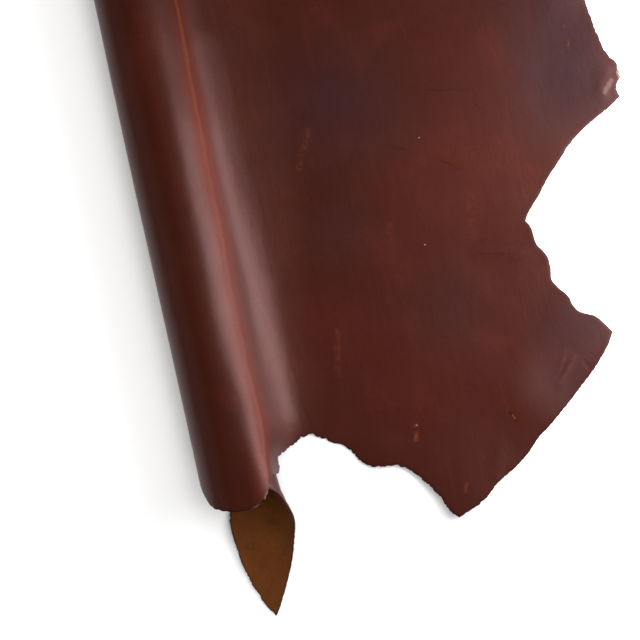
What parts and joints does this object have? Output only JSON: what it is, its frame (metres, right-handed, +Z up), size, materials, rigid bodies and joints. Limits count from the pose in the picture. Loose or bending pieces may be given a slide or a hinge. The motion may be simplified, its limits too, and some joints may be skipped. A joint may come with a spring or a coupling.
{
  "type": "leather side",
  "caption": "Cow side of dark red-brown pull-up leather, lying flat with its back part wound into a loose roll and the tail root showing below it.",
  "frame": {"origin": "middle of the underside of the piece's box, on the surface the leather lies on", "axes": "+X from the roll to the belly edge, +Y along the roll from the butt to the neck, +Z up"},
  "size_m": [0.7632, 2.196, 0.0815],
  "materials": {
    "pull_up_leather": "waxy red-brown grain side, satin, with a dry tan-brown flesh side and a dark cut edge"
  },
  "bodies": {
    "root": {"hide": "pull_up_leather"}
  },
  "joints": []
}
